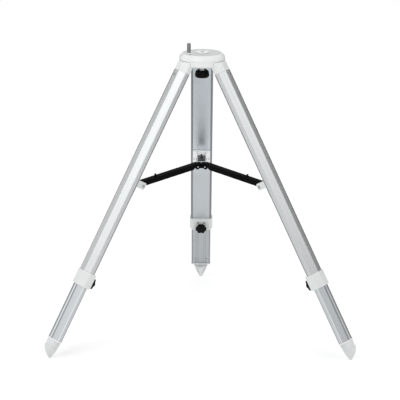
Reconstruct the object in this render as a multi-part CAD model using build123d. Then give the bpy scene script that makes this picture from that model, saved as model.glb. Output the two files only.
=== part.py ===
from build123d import *
import os
from math import copysign, cos, hypot, pi, radians, sin, sqrt, tan

# Telescope tripod: a cast head, three two-section legs that fold and slide, and a spreader of
# three stay arms on a hub. Millimetres, +Z up. The origin is on the tripod's axis, in the plane
# of the seat on top of the head. Each leg is drawn in a frame of its own: X across the leg,
# Y outwards, square to the leg's inner face, and Z up the leg, with the origin on its hinge axis.

# Stance
leg_azimuths = {"rear": 90.0, "left": 210.0, "right": 330.0}
between_azimuths = (30.0, 150.0, 270.0)
open_lean = 29.25
folded_lean = 1.0
hinge_radius = 47.5
hinge_drop = 25.0

# Leg section: a flat inner face, short straight sides, and slopes to a narrow outer face
leg_width = 63.5
leg_depth = 27.7
leg_side_depth = 15.0
leg_outer_width = 23.4
inner_corner_radius = 4.0
outer_corner_radius = 3.5
least_corner_radius = 0.6
hinge_inset = 5.5
upper_wall = 1.6
lower_wall = 1.7
slide_clearance = 0.5

# Clearances
running_clearance = 0.05
seat_clearance = 0.02
moving_gap = 0.4
seam_gap = 0.6
guide_gap = 0.3
match_tolerance = 0.01

# Head casting
seat_radius = 55.0
shoulder_radius = 64.5
shoulder_drop = 16.0
shoulder_bulge = 2.2
rim_radius = 63.6
rim_drop = 18.0
apron_radius = 63.0
apron_drop = 33.0
apron_edge_radius = 5.0
slot_inner_radius = 32.0
core_inner_radius = 15.0
core_outer_radius = 27.0
core_roof_drop = 9.0
core_rib_thickness = 5.0
neck_radius = 9.2
neck_drop = 49.0

# Seat furniture: centring boss and azimuth pin
boss_radius = 18.2
boss_height = 2.6
boss_foot_radius = 18.5
boss_foot_depth = 2.0
pin_radius = 5.3
pin_height = 30.0
pin_depth = 12.0
pin_shank_radius = 4.0
pin_position_radius = 43.0
pin_azimuth = leg_azimuths["left"]
pin_pad_radius = 6.3
pin_pad_height = 3.6
pin_pad_edge = 0.8
pin_chamfer = 1.2

# Leg hinge bolts
hinge_bolt_radius = 3.0
hinge_bolt_grip = 3.4
hinge_head_radius = 5.0
hinge_head_length = 4.0
hinge_head_seat = 2.0
hinge_entry_side = {"rear": -1, "left": 1, "right": -1}

# Fixing bolt and its hand knob
fixing_bolt_radius = 5.0
fixing_thread_radius = 4.8
fixing_bolt_height = 6.4
fixing_bolt_depth = 64.0
fixing_bolt_chamfer = 1.0
knob_neck_radius = 13.1
knob_neck_drop = 45.6
knob_shoulder_radius = 19.0
knob_shoulder_drop = 55.0
knob_shoulder_bulge = 1.0
knob_radius = 20.4
knob_grip_drop = 65.0
knob_bottom_drop = 70.0
knob_edge_radius = 3.0
knob_window_width = 16.0
clip_radius = 7.6
clip_thickness = 1.2
clip_drop = 12.0
clip_groove_depth = 1.0

# Leg cap
cap_length = 30.0
cap_plug_length = 28.0
cap_plug_wall = 4.0
plug_clearance = 0.1
cap_lip_chamfer = 0.8

# Upper tube and collar
upper_tube_end = 666.0
collar_grip = 22.0
collar_length = 42.5
collar_wall = 3.4
collar_edge_radius = 1.4
clamp_block_reach = 9.3
clamp_block_width = 51.0
clamp_block_radius = 3.0
clamp_station = 26.5

# Clamp knob and stud
clamp_knob_radius = 16.8
clamp_lobe_radius = 5.3
clamp_lobe_count = 6
clamp_core_radius = 14.4
clamp_neck_radius = 10.5
clamp_neck_length = 5.8
clamp_rim_thickness = 7.4
clamp_rim_bevel = 1.5
clamp_bevel_angle = 40.0
clamp_stud_radius = 3.5
clamp_stud_cover = 2.0
clamp_pad_thickness = 3.0

# Lower tube, its guide block and foot
lower_tube_top = 76.0
lower_tube_end = 852.0
groove_offset = 12.0
groove_width = 6.0
groove_depth = 0.6
outer_groove_width = 9.0
outer_groove_depth = 0.8
guide_cap_thickness = 6.0
guide_plug_length = 26.0
foot_plug_length = 34.0
foot_lip_thickness = 3.6
foot_lip_proud = 0.9
foot_length = 53.0
foot_half_width = 23.0
foot_half_depth = 17.0
foot_centre = 4.0
foot_toe_bend = 11.5
foot_squareness = 2.4
foot_ring_points = 20
foot_ring_count = 7
foot_taper_end = 0.94
foot_tip_radius = 3.1
foot_step_station = 20.0
foot_step_proud = 3.4
foot_facet_depth = 1.6
foot_facet_station = 9.0

# Spreader: stay arms, hub and leg brackets
hub_pivot_drop = 325.7
stay_pivot_drop = 4.0
stay_width = 22.4
stay_sheet = 1.6
stay_web_height = 9.4
stay_wall_bottom = 5.0
stay_hub_eye = 7.4
stay_leg_eye = 6.0
stay_end_trim = 2.4
stay_bend_radius = 2.2
tray_stud_inset = 48.2
tray_stud_radius = 2.9
tray_stud_height = 7.2
hub_pivot_radius = 18.7
hub_core_radius = 9.0
hub_half_height = 6.2
hub_lug_radius = 5.5
hub_screw_radius = 3.6
hub_screw_height = 2.6
rivet_radius = 2.5
rivet_head_radius = 4.1
rivet_head_height = 1.6
bracket_pin_station = 363.0
bracket_pin_reach = 30.0
bracket_ear_length = 20.5
bracket_ear_thickness = 2.5
bracket_ear_end_radius = 5.5
bracket_ear_above_pin = 10.5
bracket_plate_width = 52.0
bracket_plate_length = 48.0
bracket_plate_thickness = 3.0
bracket_bridge_length = 9.5
bracket_corner_radius = 2.8

# Pan-head screws: one size on the leg's fittings, a smaller one on the foot
screw_radius = 2.0
screw_head_radius = 3.6
screw_head_height = 2.0
screw_length = 5.0
cap_screw_station = 44.0
collar_screw_offset = 9.4
collar_screw_station = 11.5
bracket_screw_offset = 21.5
bracket_screw_station = 33.0
foot_screw_radius = 1.2
foot_screw_head_radius = 2.0
foot_screw_head_height = 1.0
foot_screw_offset = 17.4
foot_screw_stations = (6.3, 24.0)

# Places worked out from the driving sizes
inner_face = -hinge_inset
outer_face = leg_depth - hinge_inset
lower_grow = -(upper_wall + slide_clearance)
lower_inner_face = inner_face - lower_grow
collar_top = upper_tube_end - collar_grip
clamp_axis_station = collar_top + clamp_station
clamp_block_face = inner_face - clamp_block_reach
clamp_knob_base = clamp_block_face - guide_gap
clamp_knob_bore = clamp_neck_length + clamp_rim_thickness + clamp_rim_bevel - clamp_stud_cover
bracket_pin_y = inner_face - bracket_pin_reach
bracket_ear_inner = stay_width / 2 + moving_gap
bracket_ear_outer = bracket_ear_inner + bracket_ear_thickness
bracket_top = bracket_pin_station - bracket_ear_above_pin
open_sine = sin(radians(open_lean))
open_cosine = cos(radians(open_lean))
bracket_pin_radius = hinge_radius + bracket_pin_station * open_sine + bracket_pin_y * open_cosine
bracket_pin_drop = hinge_drop + bracket_pin_station * open_cosine - bracket_pin_y * open_sine
stay_run = bracket_pin_radius - hub_pivot_radius
stay_fall = bracket_pin_drop - hub_pivot_drop
stay_length = hypot(stay_run, stay_fall)
stay_span = sqrt(stay_length ** 2 - stay_pivot_drop ** 2)
tray_stud_position = stay_span - tray_stud_inset
slot_half_width = leg_width / 2 + moving_gap
hinge_bolt_end = slot_half_width + hinge_bolt_grip
hinge_head_start = slot_half_width + hinge_head_seat
hinge_head_end = hinge_head_start + hinge_head_length


def leg_plane(azimuth, lean=open_lean):
    """Frame of one leg: origin on its hinge axis, X across, Y outwards, Z up the leg."""
    a = radians(azimuth)
    outward = Vector(cos(a), sin(a), 0)
    across = Vector(sin(a), -cos(a), 0)
    up_leg = outward * -sin(radians(lean)) + Vector(0, 0, cos(radians(lean)))
    origin = outward * hinge_radius - Vector(0, 0, hinge_drop)
    return Plane(origin=origin, x_dir=across, z_dir=up_leg)


def radial_plane(azimuth, height):
    """Upright frame at a height on the axis: X outwards along the azimuth, Z up."""
    a = radians(azimuth)
    return Plane(origin=(0, 0, height), x_dir=(cos(a), sin(a), 0), z_dir=(0, 0, 1))


def side_prism(outline, half_width):
    """Carry an outline in a leg's Y and Z evenly to both sides of the leg's middle."""
    return extrude(Plane.YZ * outline, amount=half_width, both=True)


def cross_rod(radius, start, end):
    """Round rod along X from one place to another."""
    return Pos((start + end) / 2, 0, 0) * Rot(0, 90, 0) * Cylinder(radius, abs(end - start))


def inward_rod(radius, start, end):
    """Round rod along Y from one place to another."""
    return Pos(0, (start + end) / 2, 0) * Rot(90, 0, 0) * Cylinder(radius, abs(end - start))


def leg_section(grow=0.0):
    """The six-sided leg section, moved out or in all round by one amount."""
    half = leg_width / 2
    shoulder = inner_face + leg_side_depth
    tip = leg_outer_width / 2
    outline = Polygon(
        (-half, inner_face), (half, inner_face), (half, shoulder),
        (tip, outer_face), (-tip, outer_face), (-half, shoulder), align=None)
    if grow:
        outline = offset(outline, grow, kind=Kind.INTERSECTION)
    inner_radius = max(inner_corner_radius + grow, least_corner_radius)
    outer_radius = max(outer_corner_radius + grow, least_corner_radius)
    outline = fillet(outline.vertices().sort_by(Axis.Y)[:2], inner_radius)
    middle = inner_face + leg_side_depth * 0.6
    return fillet(outline.vertices().filter_by(lambda v: v.Y > middle), outer_radius)


def leg_prism(section, start, end):
    """Carry a section down the leg from one station below the hinge to another."""
    return Pos(0, 0, -start) * extrude(section, amount=start - end)


def pan_screw(radius, head_radius, head_height, length):
    """Pan-head screw along Y: the head's underside at Y = 0, and the shank towards +Y."""
    head = inward_rod(head_radius, -head_height, 0)
    head = fillet(head.edges().sort_by(Axis.Y)[0], head_height * 0.45)
    return head + inward_rod(radius, 0, length)


def build_head():
    """Cast head: a disc with a rounded shoulder, leg slots, aprons between them and a bolt neck."""
    shoulder_middle = (
        (seat_radius + shoulder_radius) / 2 + shoulder_bulge, -shoulder_drop / 2 + shoulder_bulge / 2)
    outline = [
        Line((0, 0), (seat_radius, 0)),
        ThreePointArc((seat_radius, 0), shoulder_middle, (shoulder_radius, -shoulder_drop)),
        Line((shoulder_radius, -shoulder_drop), (rim_radius, -rim_drop)),
        Line((rim_radius, -rim_drop), (apron_radius, -apron_drop)),
        Line((apron_radius, -apron_drop), (neck_radius, -apron_drop)),
        Line((neck_radius, -apron_drop), (neck_radius, -neck_drop)),
        Line((neck_radius, -neck_drop), (0, -neck_drop)),
        Line((0, -neck_drop), (0, 0)),
    ]
    head = revolve(Plane.XZ * make_face(outline), Axis.Z)
    apron_edge = head.edges().filter_by(GeomType.CIRCLE).filter_by(
        lambda e: abs(e.radius - apron_radius) < match_tolerance)
    head = fillet(apron_edge, apron_edge_radius)

    # Cored underside round the bolt neck, crossed by ribs that run to the aprons
    core_height = apron_drop - core_roof_drop
    core = Pos(0, 0, -core_roof_drop - core_height / 2) * (
        Cylinder(core_outer_radius, core_height) - Cylinder(core_inner_radius, core_height))
    for azimuth in between_azimuths:
        rib = Box(
            core_outer_radius * 2, core_rib_thickness, core_height,
            align=(Align.MIN, Align.CENTER, Align.MAX))
        core -= radial_plane(azimuth, -core_roof_drop) * rib
    head -= core

    # Slots for the leg caps, and the hinge bolts' bores in the aprons on both sides of them
    slot_depth = neck_drop
    slot = Pos(slot_inner_radius, 0, 0) * Box(
        shoulder_radius, 2 * slot_half_width, slot_depth, align=(Align.MIN, Align.CENTER, Align.MAX))
    for name, azimuth in leg_azimuths.items():
        head -= radial_plane(azimuth, -rim_drop) * slot
        side = hinge_entry_side[name]
        bore = cross_rod(hinge_bolt_radius + seat_clearance, -side * hinge_bolt_end, side * hinge_head_end)
        bore += cross_rod(hinge_head_radius + seat_clearance, side * hinge_head_start, side * shoulder_radius)
        head -= leg_plane(azimuth) * bore

    # Pad of the azimuth pin, the pin's bore and the fixing bolt's bore
    pad = Cylinder(pin_pad_radius, pin_pad_height, align=(Align.CENTER, Align.CENTER, Align.MIN))
    pad = fillet(pad.edges().group_by(Axis.Z)[-1], pin_pad_edge)
    head += radial_plane(pin_azimuth, 0) * Pos(pin_position_radius, 0, 0) * pad
    pin_bore = Cylinder(pin_shank_radius + seat_clearance, 2 * pin_depth)
    head -= radial_plane(pin_azimuth, 0) * Pos(pin_position_radius, 0, 0) * pin_bore
    head -= Cylinder(fixing_bolt_radius + running_clearance, 3 * neck_drop)
    clip_room = Pos(0, 0, -clip_drop) * Cylinder(
        clip_radius + moving_gap, clip_drop, align=(Align.CENTER, Align.CENTER, Align.MIN))
    boss_recess = Pos(0, 0, -boss_foot_depth) * Cylinder(
        boss_foot_radius + seat_clearance, 2 * boss_foot_depth, align=(Align.CENTER, Align.CENTER, Align.MIN))
    return head - clip_room - boss_recess


def build_centring_boss():
    """Low round boss that centres the telescope mount on the seat, let into it and over the bolt's clip."""
    boss = Cylinder(boss_radius, boss_height, align=(Align.CENTER, Align.CENTER, Align.MIN))
    boss = fillet(boss.edges().group_by(Axis.Z)[-1], boss_height / 4)
    boss += Cylinder(boss_foot_radius, boss_foot_depth, align=(Align.CENTER, Align.CENTER, Align.MAX))
    return boss - Cylinder(fixing_bolt_radius + running_clearance, 3 * boss_height)


def build_azimuth_pin():
    """Steel peg that the mount's azimuth screws push against, on a thinner shank in the head."""
    pin = Cylinder(pin_radius, pin_height - pin_pad_height, align=(Align.CENTER, Align.CENTER, Align.MIN))
    pin = chamfer(pin.edges().group_by(Axis.Z)[-1], pin_chamfer)
    pin += Cylinder(
        pin_shank_radius, pin_pad_height + pin_depth, align=(Align.CENTER, Align.CENTER, Align.MAX))
    return radial_plane(pin_azimuth, pin_pad_height) * Pos(pin_position_radius, 0, 0) * pin


def build_hinge_bolts():
    """The three bolts that carry the leg caps in the head's aprons."""
    bolts = []
    for name, azimuth in leg_azimuths.items():
        side = hinge_entry_side[name]
        bolt = cross_rod(hinge_bolt_radius, -side * hinge_bolt_end, side * hinge_head_start)
        bolt += cross_rod(hinge_head_radius, side * hinge_head_start, side * hinge_head_end)
        bolts.append(leg_plane(azimuth) * bolt)
    return Compound(children=bolts)


def build_fixing_bolt():
    """Bolt on the axis: a thread end over the boss, and a groove for the clip that keeps it in the head."""
    thread_end = Cylinder(
        fixing_thread_radius, fixing_bolt_height, align=(Align.CENTER, Align.CENTER, Align.MIN))
    thread_end = chamfer(thread_end.edges().group_by(Axis.Z)[-1], fixing_bolt_chamfer)
    bolt = thread_end + Pos(0, 0, boss_height) * Cylinder(
        fixing_bolt_radius, boss_height + fixing_bolt_depth, align=(Align.CENTER, Align.CENTER, Align.MAX))
    groove = Cylinder(clip_radius, clip_thickness) - Cylinder(
        fixing_bolt_radius - clip_groove_depth, clip_thickness)
    return bolt - Pos(0, 0, -clip_drop / 2) * groove


def build_retaining_clip():
    """Open spring clip in the fixing bolt's groove."""
    ring = Cylinder(clip_radius, clip_thickness) - Cylinder(
        fixing_bolt_radius - clip_groove_depth + seat_clearance, clip_thickness)
    mouth = Pos(clip_radius, 0, 0) * Box(2 * clip_radius, fixing_bolt_radius, clip_thickness)
    return Pos(0, 0, -clip_drop / 2) * (ring - mouth)


def build_fixing_knob():
    """Black hand knob: a bell-shaped body with three windows in the collar round the bolt neck."""
    cup_radius = neck_radius + moving_gap
    cup_floor = neck_drop + moving_gap
    shoulder = ThreePointArc(
        (knob_neck_radius, -cup_floor),
        ((knob_neck_radius + knob_shoulder_radius) / 2 + knob_shoulder_bulge,
         -(cup_floor + knob_shoulder_drop) / 2 + knob_shoulder_bulge),
        (knob_shoulder_radius, -knob_shoulder_drop))
    outline = [
        Line((0, -cup_floor), (cup_radius, -cup_floor)),
        Line((cup_radius, -cup_floor), (cup_radius, -knob_neck_drop)),
        Line((cup_radius, -knob_neck_drop), (knob_neck_radius, -knob_neck_drop)),
        Line((knob_neck_radius, -knob_neck_drop), (knob_neck_radius, -cup_floor)),
        shoulder,
        Line((knob_shoulder_radius, -knob_shoulder_drop), (knob_radius, -knob_grip_drop)),
        Line((knob_radius, -knob_grip_drop), (knob_radius - knob_edge_radius, -knob_bottom_drop)),
        Line((knob_radius - knob_edge_radius, -knob_bottom_drop), (0, -knob_bottom_drop)),
        Line((0, -knob_bottom_drop), (0, -cup_floor)),
    ]
    knob = revolve(Plane.XZ * make_face(outline), Axis.Z)
    grip_edges = knob.edges().filter_by(GeomType.CIRCLE).filter_by(
        lambda e: e.radius > knob_radius - knob_edge_radius - match_tolerance
        and e.center().Z < -knob_shoulder_drop - match_tolerance)
    knob = fillet(grip_edges, knob_edge_radius * 0.6)
    cup_depth = cup_floor - knob_neck_drop
    window = Box(knob_radius, knob_window_width, cup_depth, align=(Align.MIN, Align.CENTER, Align.MIN))
    window = fillet(window.edges().filter_by(Axis.X).group_by(Axis.Z)[0], cup_depth * 0.4)
    for azimuth in between_azimuths:
        knob -= radial_plane(azimuth, -cup_floor) * window
    return knob - Cylinder(fixing_bolt_radius, 2 * fixing_bolt_depth)


def build_leg_cap():
    """Cast cap on top of a leg: it turns on the hinge bolt and plugs into the upper tube."""
    room = hinge_drop - rim_drop - seam_gap
    low = leg_depth
    ridge_y = room * (1 / cos(radians(open_lean)) - 1) / (tan(radians(open_lean)) - tan(radians(folded_lean)))
    ridge_z = (room - ridge_y * sin(radians(folded_lean))) / cos(radians(folded_lean))
    outer_z = (room - outer_face * sin(radians(open_lean))) / cos(radians(open_lean))
    roof = Polygon(
        (inner_face, -low - cap_length), (outer_face, -low - cap_length), (outer_face, outer_z),
        (ridge_y, ridge_z), (inner_face, ridge_z), align=None)
    cap = leg_prism(leg_section(), -2 * room, cap_length) & side_prism(roof, leg_width)
    cap = chamfer(cap.edges().group_by(Axis.Z)[0], cap_lip_chamfer)
    plug_grow = -upper_wall - plug_clearance
    cap += leg_prism(leg_section(plug_grow), cap_length - cap_lip_chamfer, cap_length + cap_plug_length)
    pocket_roof = hinge_bolt_radius + cap_plug_wall
    pocket = leg_section(plug_grow - cap_plug_wall / 2)
    cap -= leg_prism(pocket, pocket_roof, cap_length + 2 * cap_plug_length)
    screw_hole = inward_rod(screw_radius + seat_clearance, outer_face - screw_length, outer_face)
    cap -= Pos(0, 0, -cap_screw_station) * screw_hole
    return cap - cross_rod(hinge_bolt_radius + running_clearance, -leg_width, leg_width)


def build_upper_tube():
    """Upper leg tube, with a hole for the cap's screw."""
    tube = leg_prism(leg_section() - leg_section(-upper_wall), cap_length, upper_tube_end)
    hole_radius = screw_radius + seat_clearance
    screw_hole = inward_rod(hole_radius, outer_face - 2 * upper_wall, outer_face + upper_wall)
    tube -= Pos(0, 0, -cap_screw_station) * screw_hole
    hole = inward_rod(hole_radius, inner_face - upper_wall, inner_face + 2 * upper_wall)
    for side in (-1, 1):
        tube -= Pos(side * bracket_screw_offset, 0, -bracket_top - bracket_screw_station) * hole
        tube -= Pos(side * collar_screw_offset, 0, -collar_top - collar_screw_station) * hole
    return tube


def build_collar():
    """Clamp collar: a sleeve on the upper tube's end that guides the lower tube, with a knob block."""
    collar_end = collar_top + collar_length
    flank = leg_width / 2 + collar_wall
    block = Polygon(
        (-flank, 0), (-flank, inner_face), (-clamp_block_width / 2, clamp_block_face),
        (clamp_block_width / 2, clamp_block_face), (flank, inner_face), (flank, 0), align=None)
    block = fillet(block.vertices().filter_by(lambda v: v.Y < -match_tolerance), clamp_block_radius)
    collar = leg_prism(leg_section(collar_wall) + block, collar_top, collar_end)
    rims = collar.edges().group_by(Axis.Z)
    collar = fillet(rims[0] + rims[-1], collar_edge_radius)
    collar -= leg_prism(leg_section(seat_clearance), collar_top - collar_length, upper_tube_end)
    collar -= leg_prism(leg_section(lower_grow + guide_gap), collar_top, collar_end + collar_length)
    stud_bore = inward_rod(clamp_stud_radius + running_clearance, 2 * clamp_block_face, 0)
    collar -= Pos(0, 0, -clamp_axis_station) * stud_bore
    screw_seat = inner_face - collar_wall
    hole = inward_rod(screw_radius + seat_clearance, screw_seat, 0)
    hole += inward_rod(screw_head_radius + guide_gap, 2 * clamp_block_face, screw_seat)
    for side in (-1, 1):
        collar -= Pos(side * collar_screw_offset, 0, -collar_top - collar_screw_station) * hole
    return collar


def build_clamp_pad():
    """Brass pad that the clamp stud presses on the lower tube."""
    face = lower_inner_face - guide_gap
    return Pos(0, 0, -clamp_axis_station) * inward_rod(clamp_stud_radius, face - clamp_pad_thickness, face)


def build_clamp_knob():
    """Clamp knob in front of the collar's block: a round neck with a six-lobed rim."""
    lobe_circle = clamp_knob_radius - clamp_lobe_radius
    star = Circle(clamp_core_radius)
    for lobe in PolarLocations(lobe_circle, clamp_lobe_count):
        star += lobe * Circle(clamp_lobe_radius)
    knob = Cylinder(clamp_neck_radius, clamp_neck_length, align=(Align.CENTER, Align.CENTER, Align.MIN))
    knob += Pos(0, 0, clamp_neck_length) * extrude(star, amount=clamp_rim_thickness)
    bevel = extrude(star, amount=clamp_rim_bevel, taper=clamp_bevel_angle)
    knob += Pos(0, 0, clamp_neck_length + clamp_rim_thickness) * bevel
    knob -= Cylinder(clamp_stud_radius, clamp_knob_bore, align=(Align.CENTER, Align.CENTER, Align.MIN))
    return Pos(0, clamp_knob_base, -clamp_axis_station) * Rot(90, 0, 0) * knob


def build_clamp_stud():
    """Threaded stud of the clamp knob, through the collar's block to the pad."""
    pad_back = lower_inner_face - guide_gap - clamp_pad_thickness
    stud = inward_rod(clamp_stud_radius, clamp_knob_base - clamp_knob_bore, pad_back - guide_gap)
    return Pos(0, 0, -clamp_axis_station) * stud


def build_lower_tube():
    """Lower leg tube, with two shallow grooves on its inner face and a wider one on its outer face."""
    section = leg_section(lower_grow) - leg_section(lower_grow - lower_wall)
    for side in (-1, 1):
        section -= Pos(side * groove_offset, lower_inner_face) * Rectangle(groove_width, 2 * groove_depth)
    section -= Pos(0, outer_face + lower_grow) * Rectangle(outer_groove_width, 2 * outer_groove_depth)
    tube = leg_prism(section, lower_tube_top, lower_tube_end)
    hole = inward_rod(foot_screw_radius + seat_clearance, inner_face, lower_inner_face + 2 * lower_wall)
    for station in foot_screw_stations:
        for side in (-1, 1):
            tube -= Pos(side * foot_screw_offset, 0, station - lower_tube_end) * hole
    return tube


def build_guide_block():
    """Plastic block on the lower tube's top end, which slides in the upper tube."""
    head_section = leg_section(-upper_wall - guide_gap)
    head = leg_prism(head_section, lower_tube_top - guide_cap_thickness, lower_tube_top)
    plug_grow = lower_grow - lower_wall - plug_clearance
    plug = leg_prism(leg_section(plug_grow), lower_tube_top, lower_tube_top + guide_plug_length)
    hollow = leg_prism(
        leg_section(plug_grow - lower_wall), lower_tube_top, lower_tube_top + 2 * guide_plug_length)
    return head + plug - hollow


def foot_ring(station, proud=0.0):
    """Rounded section of the foot, at a distance below its lip, grown on its outer side."""
    share = station / foot_length
    half_width = foot_half_width * (1 - share ** 1.3) ** 0.8 + proud / 4
    half_depth = foot_half_depth * (1 - share ** 4)
    centre = foot_centre - foot_toe_bend * share ** 4
    points = []
    for step in range(foot_ring_points):
        turn = 2 * pi * (step + 0.5) / foot_ring_points
        x = copysign(abs(cos(turn)) ** (2 / foot_squareness), cos(turn))
        y = copysign(abs(sin(turn)) ** (2 / foot_squareness), sin(turn))
        points.append((half_width * x, centre + half_depth * y + proud * max(y, 0)))
    ring = make_face(Spline(points, periodic=True))
    return Pos(0, 0, -lower_tube_end - foot_lip_thickness - station) * ring


def build_foot():
    """Pointed foot: a lip under the tube, a rounded boot with a stepped toe, and a plug in the tube."""
    taper = foot_taper_end * foot_length
    stations = [taper * i / foot_ring_count for i in range(foot_ring_count + 1)]
    foot = loft([foot_ring(station) for station in stations])
    toe_length = taper - foot_step_station
    for_toe = [(foot_step_station + toe_length * i / 3, foot_step_proud * (1 - i / 3)) for i in range(4)]
    foot += loft([foot_ring(station, proud) for station, proud in for_toe])
    base = lower_tube_end + foot_lip_thickness
    tip_y = foot_centre - foot_toe_bend * foot_taper_end ** 4
    foot += Pos(0, tip_y, -base - taper) * Sphere(foot_tip_radius)
    facet_top = foot_centre - foot_half_depth + foot_facet_depth
    facet_end = tip_y - foot_tip_radius
    facet = Polygon(
        (facet_top, -base - foot_facet_station), (facet_end, -base - foot_length),
        (facet_end - leg_depth, -base - foot_length), (facet_top - leg_depth, -base - foot_facet_station),
        align=None)
    foot -= side_prism(facet, foot_half_width)
    lip = leg_prism(leg_section(lower_grow + foot_lip_proud), lower_tube_end, base)
    plug_grow = lower_grow - lower_wall - plug_clearance
    foot += lip + leg_prism(leg_section(plug_grow), lower_tube_end - foot_plug_length, lower_tube_end)
    screw_hole = inward_rod(foot_screw_radius + seat_clearance, inner_face, lower_inner_face + screw_length)
    for station in foot_screw_stations:
        for side in (-1, 1):
            foot -= Pos(side * foot_screw_offset, 0, station - lower_tube_end) * screw_hole
    return foot


def build_foot_screws():
    """Four small screws that hold the foot's plug in the lower tube."""
    screw = pan_screw(foot_screw_radius, foot_screw_head_radius, foot_screw_head_height, screw_length)
    screws = []
    for station in foot_screw_stations:
        for side in (-1, 1):
            place = Pos(side * foot_screw_offset, lower_inner_face, station - lower_tube_end)
            screws.append(place * screw)
    return screws


def build_leg_screws():
    """Pan-head screws of one upper leg: cap, collar and bracket."""
    screw = pan_screw(screw_radius, screw_head_radius, screw_head_height, screw_length)
    screws = [Pos(0, outer_face, -cap_screw_station) * Rot(0, 0, 180) * screw]
    collar_seat = inner_face - collar_wall
    plate_seat = inner_face - bracket_plate_thickness
    for side in (-1, 1):
        on_collar = Pos(side * collar_screw_offset, collar_seat, -collar_top - collar_screw_station)
        on_plate = Pos(side * bracket_screw_offset, plate_seat, -bracket_top - bracket_screw_station)
        screws += [on_collar * screw, on_plate * screw]
    return screws


def build_stay_bracket():
    """Cast bracket on the leg's inner face: an open base plate with two ears for the stay arm."""
    plate_y = inner_face - bracket_plate_thickness
    plate_end = bracket_top + bracket_plate_length
    plate = Pos(0, (plate_y + inner_face) / 2, -(bracket_top + plate_end) / 2) * Box(
        bracket_plate_width, bracket_plate_thickness, bracket_plate_length)
    plate = fillet(plate.edges().filter_by(Axis.Y), bracket_corner_radius)
    window = Pos(0, inner_face, -bracket_top - bracket_bridge_length) * Box(
        2 * bracket_ear_inner, 3 * bracket_plate_thickness, bracket_plate_length,
        align=(Align.CENTER, Align.CENTER, Align.MAX))
    ear_end = bracket_pin_y - bracket_ear_end_radius
    ear_bottom = -bracket_top - bracket_ear_length
    ear_outline = Polygon(
        (inner_face, -bracket_top), (ear_end, -bracket_top),
        (ear_end, ear_bottom), (inner_face, ear_bottom), align=None)
    ear_outline = fillet(ear_outline.vertices().sort_by(Axis.X)[:2], bracket_ear_end_radius * 0.8)
    ears = side_prism(ear_outline, bracket_ear_outer) - Pos(0, 0, -bracket_pin_station) * Box(
        2 * bracket_ear_inner, 4 * bracket_pin_reach, 2 * bracket_plate_length)
    bracket = plate - window + ears
    bracket -= Pos(0, bracket_pin_y, -bracket_pin_station) * cross_rod(
        rivet_radius + seat_clearance, -leg_width, leg_width)
    hole = inward_rod(screw_radius + seat_clearance, plate_y - bracket_plate_thickness, 0)
    for side in (-1, 1):
        bracket -= Pos(side * bracket_screw_offset, 0, -bracket_top - bracket_screw_station) * hole
    return bracket


def build_bracket_pins():
    """Headed pins in the bracket's ears, which end at the ears' inner faces."""
    pins = []
    for side in (-1, 1):
        shank = cross_rod(rivet_radius, side * bracket_ear_inner, side * bracket_ear_outer)
        head_end = bracket_ear_outer + rivet_head_height
        head = cross_rod(rivet_head_radius, side * bracket_ear_outer, side * head_end)
        pins.append(Pos(0, bracket_pin_y, -bracket_pin_station) * (shank + head))
    return pins


def stay_plane(azimuth):
    """Frame of one stay arm: origin on its hub pivot, X along the arm outwards, Z square to its web."""
    a = radians(azimuth)
    along = (stay_run * stay_span + stay_fall * stay_pivot_drop) / stay_length ** 2
    down = (stay_fall * stay_span - stay_run * stay_pivot_drop) / stay_length ** 2
    origin = Vector(hub_pivot_radius * cos(a), hub_pivot_radius * sin(a), -hub_pivot_drop)
    arm = Vector(along * cos(a), along * sin(a), -down)
    up = Vector(down * cos(a), down * sin(a), along)
    return Plane(origin=origin, x_dir=arm, z_dir=up)


def build_stay_arm():
    """Stay arm: an inverted channel of bent sheet with a rounded eye at each end of its walls."""
    wall_top = stay_web_height
    web_end = stay_span - stay_end_trim
    side_view = [
        Line((-stay_hub_eye, 0), (-stay_hub_eye, wall_top)),
        Line((-stay_hub_eye, wall_top), (web_end, wall_top)),
        Line((web_end, wall_top), (stay_span + stay_leg_eye, -stay_pivot_drop)),
        ThreePointArc(
            (stay_span + stay_leg_eye, -stay_pivot_drop), (stay_span, -stay_pivot_drop - stay_leg_eye),
            (stay_span - stay_leg_eye, -stay_pivot_drop)),
        Line((stay_span - stay_leg_eye, -stay_pivot_drop), (stay_span - 2 * stay_leg_eye, -stay_wall_bottom)),
        Line((stay_span - 2 * stay_leg_eye, -stay_wall_bottom), (2 * stay_hub_eye, -stay_wall_bottom)),
        Line((2 * stay_hub_eye, -stay_wall_bottom), (stay_hub_eye, 0)),
        ThreePointArc((stay_hub_eye, 0), (0, -stay_hub_eye), (-stay_hub_eye, 0)),
    ]
    arm = extrude(Plane.XZ * make_face(side_view), amount=stay_width / 2, both=True)
    top_edges = arm.edges().filter_by(Axis.X).group_by(Axis.Z)[-1]
    arm = fillet(top_edges, stay_bend_radius)
    inside = Box(
        4 * stay_span, stay_width - 2 * stay_sheet, 8 * stay_hub_eye,
        align=(Align.CENTER, Align.CENTER, Align.MAX))
    arm -= Pos(0, 0, stay_web_height - stay_sheet) * inside
    eye_hole = Rot(90, 0, 0) * Cylinder(rivet_radius + running_clearance, 2 * stay_width)
    arm -= eye_hole
    arm -= Pos(stay_span, 0, -stay_pivot_drop) * eye_hole
    return arm - Pos(tray_stud_position, 0, stay_web_height) * Cylinder(
        tray_stud_radius / 2 + seat_clearance, 4 * stay_sheet)


def build_tray_stud():
    """Stud riveted in the arm's web, for a tray laid on the spreader."""
    head = Cylinder(tray_stud_radius, tray_stud_height, align=(Align.CENTER, Align.CENTER, Align.MIN))
    head = fillet(head.edges().group_by(Axis.Z)[-1], tray_stud_radius * 0.4)
    shank = Cylinder(tray_stud_radius / 2, stay_sheet, align=(Align.CENTER, Align.CENTER, Align.MAX))
    return Pos(tray_stud_position, 0, stay_web_height) * (head + shank)


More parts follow.
